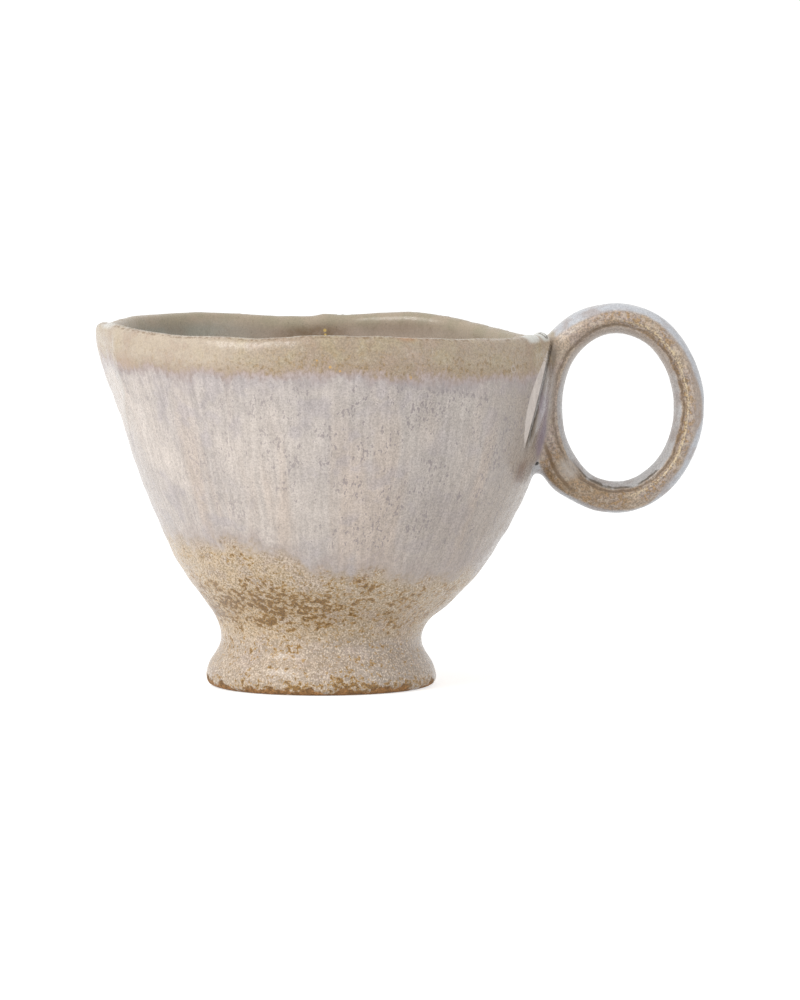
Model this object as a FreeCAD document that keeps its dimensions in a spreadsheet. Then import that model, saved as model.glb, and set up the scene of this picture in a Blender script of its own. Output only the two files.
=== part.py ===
"""Stoneware mug on a flanged foot, thrown on the wheel, pinched to an uneven rim, with one ring handle.

The whole mug is one fired piece, so it is one solid, the node mug.
Frame: the origin is the middle of the foot where it stands, +Z is up, the ring handle is on +X. Millimetres.
"""

import FreeCAD
import Part
import Sketcher

import math
import os

from FreeCAD import Placement, Rotation, Vector

# Driving sizes, in mm unless the name says degrees. The rim's radius is its mean around the mug, and each
# inset is how far the wall's outside lies within it, at a height that rises above the station before.
SIZES = {
    "foot_radius": 28.6,
    "flange_height": 6.2,
    "flange_fall": 0.9,
    "neck_radius": 25.1,
    "neck_flare": 0.6,
    "foot_height": 12.2,
    "haunch_inset": 23.0,
    "haunch_rise": 11.8,
    "haunch_degrees": 50.0,
    "belly_inset": 13.5,
    "belly_rise": 15.5,
    "belly_degrees": 63.0,
    "shoulder_inset": 5.8,
    "shoulder_rise": 19.0,
    "shoulder_degrees": 74.0,
    "collar_inset": 1.0,
    "collar_rise": 17.5,
    "collar_degrees": 78.0,
    "rim_radius": 56.4,
    "rim_rise": 14.0,
    "lip_thickness": 4.0,
    "wall_thickness": 4.6,
    "floor_height": 18.0,
    "floor_radius": 15.0,
    "floor_thickness": 8.0,
    "belly_lean": 3.4,
    "corner_depth": 0.9,
    "corner_degrees": 62.0,
    "rim_wave": 0.7,
    "rim_tilt": 0.6,
    "handle_dip": 2.7,
    "handle_dip_degrees": 38.0,
    "foot_edge_round": 2.3,
    "foot_ring_width": 4.8,
    "foot_wall": 6.5,
    "mouth_round": 0.9,
    "well_round": 2.5,
    "ring_hole_width": 29.0,
    "ring_hole_height": 38.0,
    "hole_drop": 1.4,
    "ring_gap": 2.0,
    "strap_thickness": 7.1,
    "strap_width": 14.5,
    "seat_swell": 2.2,
    "joint_round": 2.3,
}

# The wall is drawn at this many places around the mug, from the back on.
WALL_SECTIONS = 20
WALL_START_DEGREES = 90.0
# Five soft corners were pinched into the upper wall, as a wave with a share of a shorter one on it.
CORNERS = 5
CORNER_WAVE = 0.8
CORNER_POINT = 0.2
# The turn at which the dip in the rim beside the handle is deepest.
DIP_DEGREES = 10.0
# The lean comes and goes between foot and rim, and these powers say how late corners and wave set in.
CORNER_POWER = 2
LIFT_POWER = 3
# Clay drawn below the foot, that turning the foot takes away again.
SPARE = 2.0
# How far the wall runs on under the floor disc, and how far above and below the disc's top it does.
FLOOR_LAP = 4.0
FLOOR_DROP = 0.8
# Places around the lip's round edge, in degrees from its outside.
LIP_DEGREES = (0, 50, 95, 140, 185)
# The ring is drawn at this many places around its hole. Its section is fuller than an ellipse: its corners
# stand at this share of its half sizes. Each of its places is a pair, out from the hole and across.
RING_SECTIONS = 16
FULL = 0.76
STRAP_PLACES = (
    (-1, 0), (-FULL, -FULL), (0, -1), (FULL, -FULL),
    (1, 0), (FULL, FULL), (0, 1), (-FULL, FULL),
)
# A higher power keeps the ring's swelling nearer to the wall.
SWELL_POWER = 1.5
# The seat block is this many straps wide and reaches this many strap thicknesses above the rim. The ring
# ends at its edge, this share of the way through the wall.
SEAT_REACH = 3
SEAT_DEPTH = 0.75
# The foot's turned edge ends a little short of square, so that it crosses the foot's side cleanly.
EDGE_CLEARANCE = 0.15
# Closer than this counts as touching, looked for at these shares of an edge.
TOUCH = 0.01
EDGE_SHARES = (0.3, 0.7)
# The wall's stations above the foot, each a rise above the one before.
STATIONS = ("haunch", "belly", "shoulder", "collar", "rim")


def main():
    doc = FreeCAD.newDocument("mug")
    add_sheet(doc)
    add_levels(doc)
    bowl = doc.addObject("PartDesign::Body", "bowl")
    throw_bowl(bowl)
    turn_foot(bowl)
    ring = make_ring(doc)
    mug = join(doc, bowl, ring)
    check(doc)
    os.makedirs("parts", exist_ok=True)
    mug.Shape.exportStep("parts/mug.step")
    return doc


def add_sheet(doc):
    sheet = doc.addObject("Spreadsheet::Sheet", "sizes")
    for row, (name, value) in enumerate(SIZES.items(), start=1):
        sheet.set(f"A{row}", name)
        sheet.set(f"B{row}", str(value))
        sheet.setAlias(f"B{row}", name)
    doc.recompute()


def bind(item, name, size):
    """Give an object a value of its own that follows the sheet."""
    item.addProperty("App::PropertyFloat", name)
    item.setExpression(name, size)


def add_levels(doc):
    """Each station's height, and how far the lean, the corners and the rim's wave reach there."""
    levels = doc.addObject("App::VarSet", "levels")
    height = "sizes.foot_height"
    for name in STATIONS:
        height += f" + sizes.{name}_rise"
        bind(levels, name, height)
    reach = doc.addObject("App::VarSet", "reach")
    for name in STATIONS:
        share = f"((levels.{name} - sizes.foot_height) / (levels.rim - sizes.foot_height))"
        bind(reach, f"{name}_lean", f"sizes.belly_lean * sin(180 * {share})")
        bind(reach, f"{name}_corner", f"sizes.corner_depth * pow({share}; {CORNER_POWER})")
        bind(reach, f"{name}_lift", f"pow({share}; {LIFT_POWER})")
    pinch = doc.addObject("App::VarSet", "pinch")
    for number in range(WALL_SECTIONS):
        turn = wall_turn(number)
        around = f"({turn:g} - sizes.corner_degrees)"
        wave = f"{CORNER_WAVE} * cos({CORNERS} * {around})"
        corner = f"({wave} + {CORNER_POINT} * cos({2 * CORNERS} * {around}))"
        away = math.remainder(turn - DIP_DEGREES, 360.0)
        bind(pinch, f"corner_{number}", corner)
        dip = f"sizes.handle_dip * exp(-pow({away:g} / sizes.handle_dip_degrees; 2))"
        tilt = f"sizes.rim_tilt * cos({turn:g})"
        bind(pinch, f"lift_{number}", f"sizes.rim_wave * {corner} - {tilt} - {dip}")
    doc.recompute()


def wall_turn(number):
    return (WALL_START_DEGREES + 360.0 * number / WALL_SECTIONS) % 360.0


def wall_radius(name):
    """The wall's mean outside radius at a station."""
    return "sizes.rim_radius" if name == "rim" else f"(sizes.rim_radius - sizes.{name}_inset)"


def new_sketch(body, name, role):
    sketch = body.newObject("Sketcher::SketchObject", name)
    plane = next(item for item in body.Origin.OriginFeatures if item.Role == role)
    sketch.AttachmentSupport = [(plane, "")]
    sketch.MapMode = "FlatFace"
    return sketch


def located(sketch, places):
    return [Vector(sketch.evalExpression(x), sketch.evalExpression(y), 0) for x, y in places]


def pin(sketch, items, places, others):
    """Add the other constraints, then hold each item's first end at its place, bound to the sheet."""
    held = []
    for item, point in zip(items, located(sketch, places)):
        held.append(Sketcher.Constraint("DistanceX", -1, 1, item, 1, point.x))
        held.append(Sketcher.Constraint("DistanceY", -1, 1, item, 1, point.y))
    start = sketch.ConstraintCount + len(others)
    sketch.addConstraint(others + held)
    for number, (x, y) in enumerate(places):
        first = start + 2 * number
        sketch.setExpression(f"Constraints[{first}]", x)
        sketch.setExpression(f"Constraints[{first + 1}]", y)


def draw_curve(sketch, places, **form):
    """Draw one smooth curve through places, which are pairs of expressions on the sheet."""
    points = located(sketch, places)
    curve = Part.BSplineCurve()
    curve.interpolate(Points=points, **form)
    line = sketch.addGeometry(curve, False)
    knots = [sketch.addGeometry(Part.Point(point), True) for point in points]
    aligned = "InternalAlignment:Sketcher::BSplineKnotPoint"
    others = [Sketcher.Constraint(aligned, knot, 1, line, number) for number, knot in enumerate(knots)]
    pin(sketch, knots, places, others)
    return line


def draw_outline(sketch, places):
    """Draw straight lines through places and back to the first."""
    points = located(sketch, places)
    ends = points[1:] + points[:1]
    lines = [sketch.addGeometry(Part.LineSegment(*pair), False) for pair in zip(points, ends)]
    before = lines[-1:] + lines[:-1]
    others = [Sketcher.Constraint("Coincident", last, 2, line, 1) for last, line in zip(before, lines)]
    pin(sketch, lines, places, others)


def spread(points):
    """Curve parameters that follow the distance between points."""
    found = [0.0]
    for before, after in zip(points, points[1:]):
        found.append(found[-1] + before.distanceToPoint(after))
    return found


# The bowl.
def throw_bowl(body):
    sections = []
    for number in range(WALL_SECTIONS):
        sketch = new_sketch(body, f"wall_section_{number:02d}", "XZ_Plane")
        sketch.AttachmentOffset = Placement(Vector(), Rotation(Vector(0, 1, 0), wall_turn(number)))
        draw_wall_section(sketch, number)
        sections.append(sketch)
    wall = body.newObject("PartDesign::AdditiveLoft", "wall")
    wall.Profile = sections[0]
    wall.Sections = [(section, [""]) for section in sections[1:]]
    wall.Closed = True
    outline = new_sketch(body, "floor_outline", "XZ_Plane")
    edge = f"sizes.floor_radius + {FLOOR_LAP / 2}"
    top = "sizes.floor_height"
    draw_outline(outline, (("0", f"-{SPARE}"), (edge, f"-{SPARE}"), (edge, top), ("0", top)))
    floor = body.newObject("PartDesign::Revolution", "floor")
    turn_about_axis(floor, outline)


def turn_about_axis(feature, outline):
    feature.Profile = outline
    feature.ReferenceAxis = (outline, ["V_Axis"])
    feature.Angle = 360.0


def draw_wall_section(sketch, number):
    """The wall cut at one turn: up the outside, over the lip, down the inside, closed under the floor."""
    places = wall_places(number)
    plain = located(sketch, wall_places(0))
    curve = draw_curve(sketch, places, Parameters=spread(plain))
    start, end = located(sketch, (places[0], places[-1]))
    corner = Vector(end.x, start.y, 0)
    inner = sketch.addGeometry(Part.LineSegment(end, corner), False)
    lower = sketch.addGeometry(Part.LineSegment(corner, start), False)
    sketch.addConstraint(
        [
            Sketcher.Constraint("Coincident", curve, 2, inner, 1),
            Sketcher.Constraint("Coincident", inner, 2, lower, 1),
            Sketcher.Constraint("Coincident", lower, 2, curve, 1),
            Sketcher.Constraint("Vertical", inner),
            Sketcher.Constraint("Horizontal", lower),
        ]
    )


def wall_places(number):
    above = outside_places(number) + lip_places(number) + inside_places(number)
    return foot_places() + above + floor_places()


def foot_places():
    """The turned foot is round: its flange, its fall to the neck, and the neck."""
    return [
        ("sizes.foot_radius", f"-{SPARE}"),
        ("sizes.foot_radius", "sizes.flange_height / 2"),
        ("sizes.foot_radius - sizes.flange_fall", "sizes.flange_height"),
        ("sizes.neck_radius + sizes.neck_flare", "(sizes.flange_height + sizes.foot_height) / 2"),
        ("sizes.neck_radius", "sizes.foot_height"),
    ]


def outside_places(number):
    return [pinched(wall_radius(name), f"levels.{name}", name, number) for name in STATIONS[:-1]]


def lip_places(number):
    found = []
    for place in LIP_DEGREES:
        radius = f"sizes.rim_radius - sizes.lip_thickness / 2 * (1 - cos({place}))"
        height = f"levels.rim - sizes.lip_thickness / 2 * (1 - sin({place}))"
        found.append(pinched(radius, height, "rim", number))
    return found


def inside_places(number):
    """The outside moved in by the wall thickness, square to the wall's slope at each station."""
    found = []
    for name in reversed(STATIONS[:-1]):
        radius = f"{wall_radius(name)} - sizes.wall_thickness * sin(sizes.{name}_degrees)"
        height = f"levels.{name} + sizes.wall_thickness * cos(sizes.{name}_degrees)"
        found.append(pinched(radius, height, name, number))
    return found


def floor_places():
    return [
        (f"sizes.floor_radius + {FLOOR_LAP}", f"sizes.floor_height + {FLOOR_DROP}"),
        (f"sizes.floor_radius - {FLOOR_LAP}", f"sizes.floor_height - {FLOOR_DROP}"),
    ]


def pinched(radius, height, name, number):
    """Move a place on the round wall to where throwing and pinching left it in this section."""
    leaned = f"{radius} + reach.{name}_lean * cos({wall_turn(number):g})"
    return (
        f"{leaned} + reach.{name}_corner * pinch.corner_{number}",
        f"{height} + reach.{name}_lift * pinch.lift_{number}",
    )


# The foot.
def turn_foot(body):
    """Turn away the clay below the foot, the well under the floor and the foot's outer edge."""
    turning = body.Document.addObject("PartDesign::Body", "turning")
    outline = new_sketch(turning, "turning_outline", "XZ_Plane")
    below = f"-{2 * SPARE}"
    clear = "2 * sizes.foot_radius"
    side = f"sizes.foot_radius + {EDGE_CLEARANCE}"
    step = "2 * sizes.foot_edge_round"
    mouth = "sizes.foot_radius - sizes.foot_edge_round - sizes.foot_ring_width"
    roof_side = "sizes.neck_radius - sizes.foot_wall"
    roof = "sizes.floor_height - sizes.floor_thickness"
    outside = (("0", below), (clear, below), (clear, step), (side, step), (side, "0"))
    draw_outline(outline, outside + ((mouth, "0"), (roof_side, roof), ("0", roof)))
    turned = turning.newObject("PartDesign::Revolution", "turned")
    turn_about_axis(turned, outline)
    body.Document.recompute()
    for name, radius, height, size in (
        ("foot_edge", side, "0", "sizes.foot_edge_round"),
        ("mouth_edge", mouth, "0", "sizes.mouth_round"),
        ("roof_edge", roof_side, roof, "sizes.well_round"),
    ):
        circle = Vector(turning.evalExpression(radius), 0, turning.evalExpression(height))
        round_edges(turning, name, lambda edge: is_level_circle(edge, circle), size)
    foot = body.newObject("PartDesign::Boolean", "foot")
    foot.setObjects([turning])
    foot.Type = 1


def is_level_circle(edge, place):
    """True for the circle about the mug's axis that passes through a place."""
    if not isinstance(edge.Curve, Part.Circle):
        return False
    return abs(edge.Curve.Radius - place.x) < TOUCH and abs(edge.Curve.Center.z - place.z) < TOUCH


def round_edges(body, name, wanted, size):
    """Round those edges of a body that are wanted."""
    before = body.Tip
    names = [f"Edge{number}" for number, edge in enumerate(before.Shape.Edges, start=1) if wanted(edge)]
    rounded = body.newObject("PartDesign::Fillet", name)
    rounded.Base = (before, names)
    rounded.setExpression("Radius", size)
    body.Document.recompute()


# The ring handle.
def make_ring(doc):
    seat = doc.addObject("PartDesign::Body", "seat")
    strap = doc.addObject("Part::Loft", "strap")
    strap.Sections = [ring_section(seat, number) for number in range(RING_SECTIONS)]
    strap.Solid = True
    strap.Closed = True
    outline = new_sketch(seat, "seat_outline", "XZ_Plane")
    draw_seat(outline)
    block = seat.newObject("PartDesign::Pad", "seat_block")
    block.Profile = outline
    block.Midplane = True
    block.setExpression("Length", f"{SEAT_REACH} * sizes.strap_width")
    ring = doc.addObject("Part::Cut", "ring")
    ring.Base = strap
    ring.Tool = seat
    return ring


def ring_section(body, number):
    """The strap cut at one turn around the hole, thicker where it sits on the wall."""
    turn = 360.0 * number / RING_SECTIONS
    sketch = new_sketch(body, f"strap_section_{number:02d}", "XY_Plane")
    sketch.AttachmentOffset = Placement(Vector(), Rotation(Vector(0, 1, 0), -turn))
    stand_off = f"{wall_radius('collar')} + reach.collar_lean + sizes.ring_gap"
    wide = "sizes.ring_hole_width / 2"
    high = "sizes.ring_hole_height / 2"
    sketch.setExpression("AttachmentOffset.Base.x", f"{stand_off} + {wide}")
    sketch.setExpression("AttachmentOffset.Base.z", f"levels.rim - sizes.hole_drop - {high}")
    inner = f"{wide} * {high} / sqrt(pow({high} * cos({turn:g}); 2) + pow({wide} * sin({turn:g}); 2))"
    swell = max(0.0, -math.cos(math.radians(turn))) ** SWELL_POWER
    half = f"(sizes.strap_thickness + sizes.seat_swell * {swell:.4f}) / 2"
    side = "sizes.strap_width / 2"
    places = [(f"{inner} + {1 + out:g} * {half}", f"{across} * {side}") for out, across in STRAP_PLACES]
    draw_curve(sketch, places, PeriodicFlag=True)
    return sketch


def draw_seat(sketch):
    """Everything further in than the depth in the wall at which the ring is cut away."""
    depth = f"{SEAT_DEPTH} * sizes.wall_thickness"
    edge = []
    for name in STATIONS[:-1]:
        radius = f"{wall_radius(name)} + reach.{name}_lean - {depth} * sin(sizes.{name}_degrees)"
        edge.append((radius, f"levels.{name} + {depth} * cos(sizes.{name}_degrees)"))
    top = f"sizes.rim_radius - {SEAT_DEPTH} * sizes.lip_thickness"
    above = f"levels.rim + {SEAT_REACH} * sizes.strap_thickness"
    edge += [(top, "levels.rim - sizes.lip_thickness"), (top, above)]
    draw_outline(sketch, [("0", "levels.haunch")] + edge + [("0", above)])


# The joint.
def join(doc, bowl, ring):
    whole = doc.addObject("Part::Fuse", "whole")
    whole.Base = bowl
    whole.Tool = ring
    doc.recompute()
    mug = doc.addObject("PartDesign::Body", "mug")
    mug.BaseFeature = whole
    doc.recompute()
    round_edges(mug, "joint", lambda edge: on_both(edge, bowl, ring), "sizes.joint_round")
    return mug


def on_both(edge, first, second):
    """True where an edge runs along the skins of both pieces."""
    span = edge.LastParameter - edge.FirstParameter
    found = [Part.Vertex(edge.valueAt(edge.FirstParameter + span * share)) for share in EDGE_SHARES]
    skins = first.Shape.Shells + second.Shape.Shells
    return all(point.distToShape(skin)[0] < TOUCH for point in found for skin in skins)


def check(doc):
    doc.recompute()
    for item in doc.Objects:
        if "Invalid" in item.State or "Error" in item.State:
            raise RuntimeError(f"{item.Label} did not build: {item.State}")
        if hasattr(item, "Shape") and (item.Shape.isNull() or not item.Shape.isValid()):
            raise RuntimeError(f"{item.Label} has no valid shape")


if __name__ == "__main__":
    main()
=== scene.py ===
"""Looks of the stoneware mug: its solid, worked over as hand-thrown clay and glazed, in a light tent.

The objects are in metres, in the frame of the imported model: the mug stands on z = 0 and its ring is on +X.
The marks of making and the glaze are worked out in mm and degrees.
"""

import math

import bpy
import numpy as np
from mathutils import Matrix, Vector, noise


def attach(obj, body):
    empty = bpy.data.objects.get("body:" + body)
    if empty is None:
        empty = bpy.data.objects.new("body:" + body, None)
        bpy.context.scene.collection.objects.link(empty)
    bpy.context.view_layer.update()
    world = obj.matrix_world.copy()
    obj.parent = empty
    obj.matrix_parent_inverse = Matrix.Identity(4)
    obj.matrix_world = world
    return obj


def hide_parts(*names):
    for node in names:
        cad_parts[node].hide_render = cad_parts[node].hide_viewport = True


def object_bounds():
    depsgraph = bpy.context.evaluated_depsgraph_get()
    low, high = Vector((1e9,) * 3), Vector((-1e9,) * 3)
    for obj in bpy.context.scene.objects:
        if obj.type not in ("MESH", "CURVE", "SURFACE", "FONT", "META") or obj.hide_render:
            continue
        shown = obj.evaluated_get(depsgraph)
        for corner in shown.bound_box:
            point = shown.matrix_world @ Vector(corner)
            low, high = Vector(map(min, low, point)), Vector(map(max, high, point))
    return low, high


MM = 0.001

# The skin is remeshed at this size, then smoothed in passes that pull in and push out.
VOXEL = 0.82 * MM
SMOOTH_PASSES = 6
PULL = 0.5
PUSH = -0.52

# The ring: half sizes of its hole, and its strap's thickness.
HOLE_HALF_WIDTH = 14.5
HOLE_HALF_HEIGHT = 19.0
STRAP_THICKNESS = 7.1

# Heights and radii on the mug.
WELL_ROOF = 11.0
FLOOR = 16.0
FLOOR_RADIUS = 19.0
WELL_RADIUS = 23.0
LIP_REGION = 70.0
LIP_RADIUS = 60.5

# The soft upright edge on the wall's left: its turn around the mug at these heights.
EDGE_HEIGHTS = (56.0, 62.0, 75.0, 89.0)
EDGE_TURNS = (-172.0, -165.0, -154.0, -150.0)
EDGE_RIDGE = 0.38
EDGE_FLAT = 0.5

# The narrow facet beside the ring, seen from the front: its two sides at these heights.
FACET_HEIGHTS = (60.0, 65.0, 70.0, 75.0, 79.0, 82.8, 86.0)
FACET_LEFT = (50.2, 50.3, 50.8, 52.0, 53.9, 55.2, 56.8)
FACET_RIGHT = (50.2, 51.5, 52.8, 54.1, 55.1, 56.0, 56.8)
FACET_CURVE_DEGREE = 4
FACET_RISE = 0.45
CREASE_DEPTH = 0.55
FAR = 5.0

# Single marks of the glaze: where bubbles burst, and the place and reach of every other mark, one of them a
# painted highlight on the lip.
CRATER = (55.0, -12.0, 88.0)
BUBBLE = (47.8, -31.2, 80.9)
SPECK_CLUSTER = ((27.0, -50.0, 74.0), 17.0)
ROSY_PATCH = ((-47.0, -30.0, 81.0), 6.5)
RUSTY_TOUCH = ((20.9, -50.4, 90.3), 4.2)
LIP_PAINTED_HIGHLIGHT = ((-51.5, -21.0, 90.2), 5.0)
INSIDE_STAIN = ((-3.0, 52.0, 82.0), 12.5)
MILKY_SPOT = ((62.0, -7.0, 55.0), 4.2)
ROSE_SPOT = ((49.6, -17.6, 54.0), 5.4)
JOINT_WEB = ((54.0, -5.5, 54.0), 4.0)
WHITE_BY_RING = ((54.6, -11.0, 88.2), 5.0)
WHITE_ON_LIP = ((50.4, -19.0, 88.6), 5.2)
PINHOLE = ((53.5, -6.5, 56.0), 0.75)
GOLD_SPECKS = (
    ((22.1, -52.4, 80.1), 0.7),
    ((2.8, -57.2, 83.0), 0.5),
    ((5.2, -57.0, 82.0), 0.45),
    ((-0.4, -57.2, 84.6), 0.4),
)
GOLD_DROPS = (
    ((0.4, 51.7, 85.7), 0.6),
    ((0.5, 51.6, 84.6), 0.45),
)

# The clay's unevenness: how far it goes, the size of its cells, and where its noise starts.
WALL_SWELLS = (0.34, 15.0, 3.0)
WALL_DENTS = (0.16, 5.5, 7.0)
RING_DENTS = (0.16, 6.0, 11.0)

# The rounds that throwing left: from one to the next, their heights, and how they drift, in radians.
ROUND_SPACING = 6.2
ROUNDS_INSIDE = 0.14
ROUNDS_OUTSIDE = 0.05
ROUNDS_DRIFT = (2.2, 22.0, 19.0)

# The strap's bead and the grooves on both sides of it: how far outside the hole, half width, and height.
STRAP_MARKS = ((3.2, 0.8, 0.2), (1.7, 0.7, -0.34), (5.6, 0.8, -0.18))
# A thin line of glaze stands on the bead's inner side, this far outside the hole.
BEAD_LINE = 2.9

# Soft spots of the clay and drops of glaze: place, reach along each axis, and how far they stand out or in.
POOL_BY_RING = ((55.0, -11.0, 87.6), (3.4, 3.4, 3.4), 0.9)
POOL_ON_LIP = ((51.0, -18.5, 88.4), (3.2, 3.2, 3.2), 0.6)
UNDER_RING = ((59.0, 0.0, 49.5), (9.0, 12.0, 6.0), 0.85)
BELLY_RIGHT = ((47.0, -4.0, 43.0), (8.0, 16.0, 10.0), 0.6)
NECK_RIGHT = ((30.0, 0.0, 20.5), (6.0, 14.0, 4.5), 0.75)
BELLY_LEFT = ((-33.0, -4.0, 26.5), (9.0, 16.0, 9.0), -0.75)
BELOW_LEFT_LIP = ((-56.0, -12.0, 83.0), (6.0, 14.0, 5.5), -0.6)
LEFT_CORNER = ((-54.5, -16.0, 91.0), (7.0, 10.0, 3.0), 0.8)
BACK_LIP = ((14.0, 50.0, 90.0), (24.0, 12.0, 3.0), 0.65)
HOLE_LOW_LEFT = ((66.0, 0.0, 50.6), (5.0, 12.0, 4.0), -0.8)
HOLE_LEFT = ((59.8, 0.0, 71.0), (2.5, 12.0, 12.0), 0.4)
RING_TOP = ((75.0, 0.0, 95.5), (12.0, 12.0, 3.0), -0.35)
RING_FOOT = ((75.0, 0.0, 43.8), (14.0, 12.0, 3.0), 0.35)
SOFT_SPOTS = (
    POOL_BY_RING,
    POOL_ON_LIP,
    UNDER_RING,
    BELLY_RIGHT,
    NECK_RIGHT,
    BELLY_LEFT,
    BELOW_LEFT_LIP,
    LEFT_CORNER,
    BACK_LIP,
    HOLE_LOW_LEFT,
    HOLE_LEFT,
    RING_TOP,
    RING_FOOT,
)

# Where the ring is looked for: the strip of wall beside it, the levels searched, and the ring's own reach.
STRIP_INNER = 11.0
STRIP_OUTER = 15.0
LOWEST_LEVEL = 30.0
HIGHEST_LEVEL = 100.0
RADIUS_BELOW = 45.0
RING_REACH = 12.0
RING_FROM = 35.0

# The lip's crest is looked up in this many bins around the mug.
CREST_BINS = 120

# How far the lip's tan band reaches down, and the heights of the low coat's top on the left and the right.
BAND = 9.1
COAT_LEFT = 38.0
COAT_RIGHT = 29.5

# The camera stands this far off, at this height, and looks at the middle of the mug's picture.
CAMERA_DISTANCE = 1.80
CAMERA_HEIGHT = 0.1906
AIM = (0.01965, 0.0, 0.04625)
LENS = 260.6
SENSOR = 36.0

# Glaze that ran is drawn around the wall at this radius, and stretched downwards a little or much.
WALL_TURN_RADIUS = 48.0
FLOW_STRETCH = 0.5
RUN_STRETCH = 0.14

# Gloss of the glaze, and the roughness of bare clay.
GLAZE_IOR = 1.52
BARE_ROUGHNESS = 0.78

# The studio: its floor, its light beside white, and the place, size and power of each lamp.
FLOOR_SIZE = 40.0
PAPER = 0.8
FLOOR_LIFT = 0.66
TENT_LIGHT = 0.55
KEY = ((-0.9, -0.9, 0.9), (0.8, 0.8), 10.5)
FILL = ((1.1, -0.8, 0.5), (0.6, 0.8), 1.6)
LAMP_AIM = (0.0, 0.0, 0.05)
WHITE = (1.0, 1.0, 1.0, 1.0)


def main():
    solid_box = plain_box()
    piece = make_skin()
    skin = Skin(piece.data, solid_box)
    work_surface(skin)
    mark_surface(skin)
    piece.data.materials.clear()
    piece.data.materials.append(glaze_material())
    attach(piece, "root")
    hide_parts("mug")
    lay_floor()
    light_tent()
    place_camera()


def plain_box():
    """The box of what stands there now, as plain lists."""
    low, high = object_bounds()
    return [list(low), list(high)]


# The skin of the mug.
def make_skin():
    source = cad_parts["mug"]
    piece = bpy.data.objects.new("mug_skin", source.data.copy())
    bpy.context.scene.collection.objects.link(piece)
    remesh = piece.modifiers.new("even_mesh", "REMESH")
    remesh.mode = "VOXEL"
    remesh.voxel_size = VOXEL
    bpy.context.view_layer.update()
    evaluated = piece.evaluated_get(bpy.context.evaluated_depsgraph_get())
    even = bpy.data.meshes.new_from_object(evaluated)
    piece.modifiers.clear()
    piece.data = even
    return piece


class Skin:
    """The mug's even mesh, and where each of its points lies, in mm and degrees."""

    def __init__(self, mesh, solid_box):
        self.mesh = mesh
        self.low, self.high = np.array(solid_box) / MM
        self.points = smooth(read_vectors(mesh.vertices, "co") / MM, read_edges(mesh))
        self.write()

    def write(self):
        """Put the points into the mesh, inside the solid's box, and look at where they lie."""
        self.points = np.clip(self.points, self.low, self.high)
        self.mesh.vertices.foreach_set("co", (self.points * MM).ravel())
        self.mesh.update()
        self.mesh.polygons.foreach_set("use_smooth", np.ones(len(self.mesh.polygons), dtype=bool))
        self.normals = read_vectors(self.mesh.vertex_normals, "vector")
        self.side, self.depth, self.height = self.points.T
        self.radius = np.hypot(self.side, self.depth)
        self.turn = np.degrees(np.arctan2(self.depth, self.side))
        outward = self.normals[:, 0] * self.side + self.normals[:, 1] * self.depth
        self.out = outward / np.maximum(self.radius, 1.0)
        self.ring = ring_share(self)
        facing_up = step_up(self.normals[:, 2], 0.3, 0.7)
        floor = facing_up * step_up(self.radius, FLOOR_RADIUS + 4, FLOOR_RADIUS)
        inward = np.maximum(step_up(self.out, 0.15, -0.15), floor)
        self.inside = inward * step_up(self.height, FLOOR - 1, FLOOR) * (1 - self.ring)

    def move(self, push):
        """Move each point along its normal by so many mm."""
        self.points = self.points + self.normals * push[:, None]
        self.write()

    def wobble(self, reach, cell, start):
        """Soft unevenness to both sides of 0, in cells of so many mm."""
        shift = Vector((start, start, start))
        return reach * np.array([noise.noise(Vector(point) / cell + shift) for point in self.points])


def read_vectors(holder, name):
    found = np.empty(len(holder) * 3)
    holder.foreach_get(name, found)
    return found.reshape(-1, 3)


def read_edges(mesh):
    found = np.empty(len(mesh.edges) * 2, dtype=np.int64)
    mesh.edges.foreach_get("vertices", found)
    return found.reshape(-1, 2)


def smooth(values, edges):
    """Even out the mesh: each pass pulls a point to its neighbours' mean and pushes it back again."""
    first, second = edges.T
    count = np.bincount(edges.ravel(), minlength=len(values))[:, None]
    for step in [PULL, PUSH] * SMOOTH_PASSES:
        total = np.zeros_like(values)
        for axis in range(3):
            total[:, axis] += np.bincount(first, values[second, axis], len(values))
            total[:, axis] += np.bincount(second, values[first, axis], len(values))
        values = values + step * (total / count - values)
    return values


def step_up(value, low, high):
    """0 below low, 1 above high and a smooth step between; low may be the higher one."""
    share = np.clip((value - low) / (high - low), 0, 1)
    return share * share * (3 - 2 * share)


def bell(value, width):
    """1 at 0, falling away on both sides."""
    return np.exp(-((value / width) ** 2))


def ring_share(skin):
    """1 on the ring, 0 on the bowl, found by how far a point stands out from the wall beside the ring."""
    across = np.abs(skin.depth)
    beside = (skin.side > 0) & (across > STRIP_INNER) & (across < STRIP_OUTER)
    levels = np.arange(LOWEST_LEVEL, HIGHEST_LEVEL)
    radii = [RADIUS_BELOW]
    for level in levels:
        near = beside & (np.abs(skin.height - level) < 1)
        radii.append(skin.radius[near].max() if near.any() else radii[-1])
    beyond = skin.radius - np.interp(skin.height, levels, radii[1:])
    in_reach = (skin.side > 0) & (across < RING_REACH) & (skin.height > RING_FROM)
    return step_up(beyond, 0.3, 1.5) * in_reach


# The marks of making.
def work_surface(skin):
    """Press the marks of throwing, pinching and joining into the smooth skin."""
    clear_of_edges = step_up(skin.height, 1.5, 4.0) * (1 - skin.ring)
    push = clear_of_edges * (skin.wobble(*WALL_SWELLS) + skin.wobble(*WALL_DENTS))
    push += skin.ring * skin.wobble(*RING_DENTS)
    for marks in (throwing_lines, left_edge, seat_fold, strap_marks, soft_spots):
        push += marks(skin)
    skin.move(push)


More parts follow.
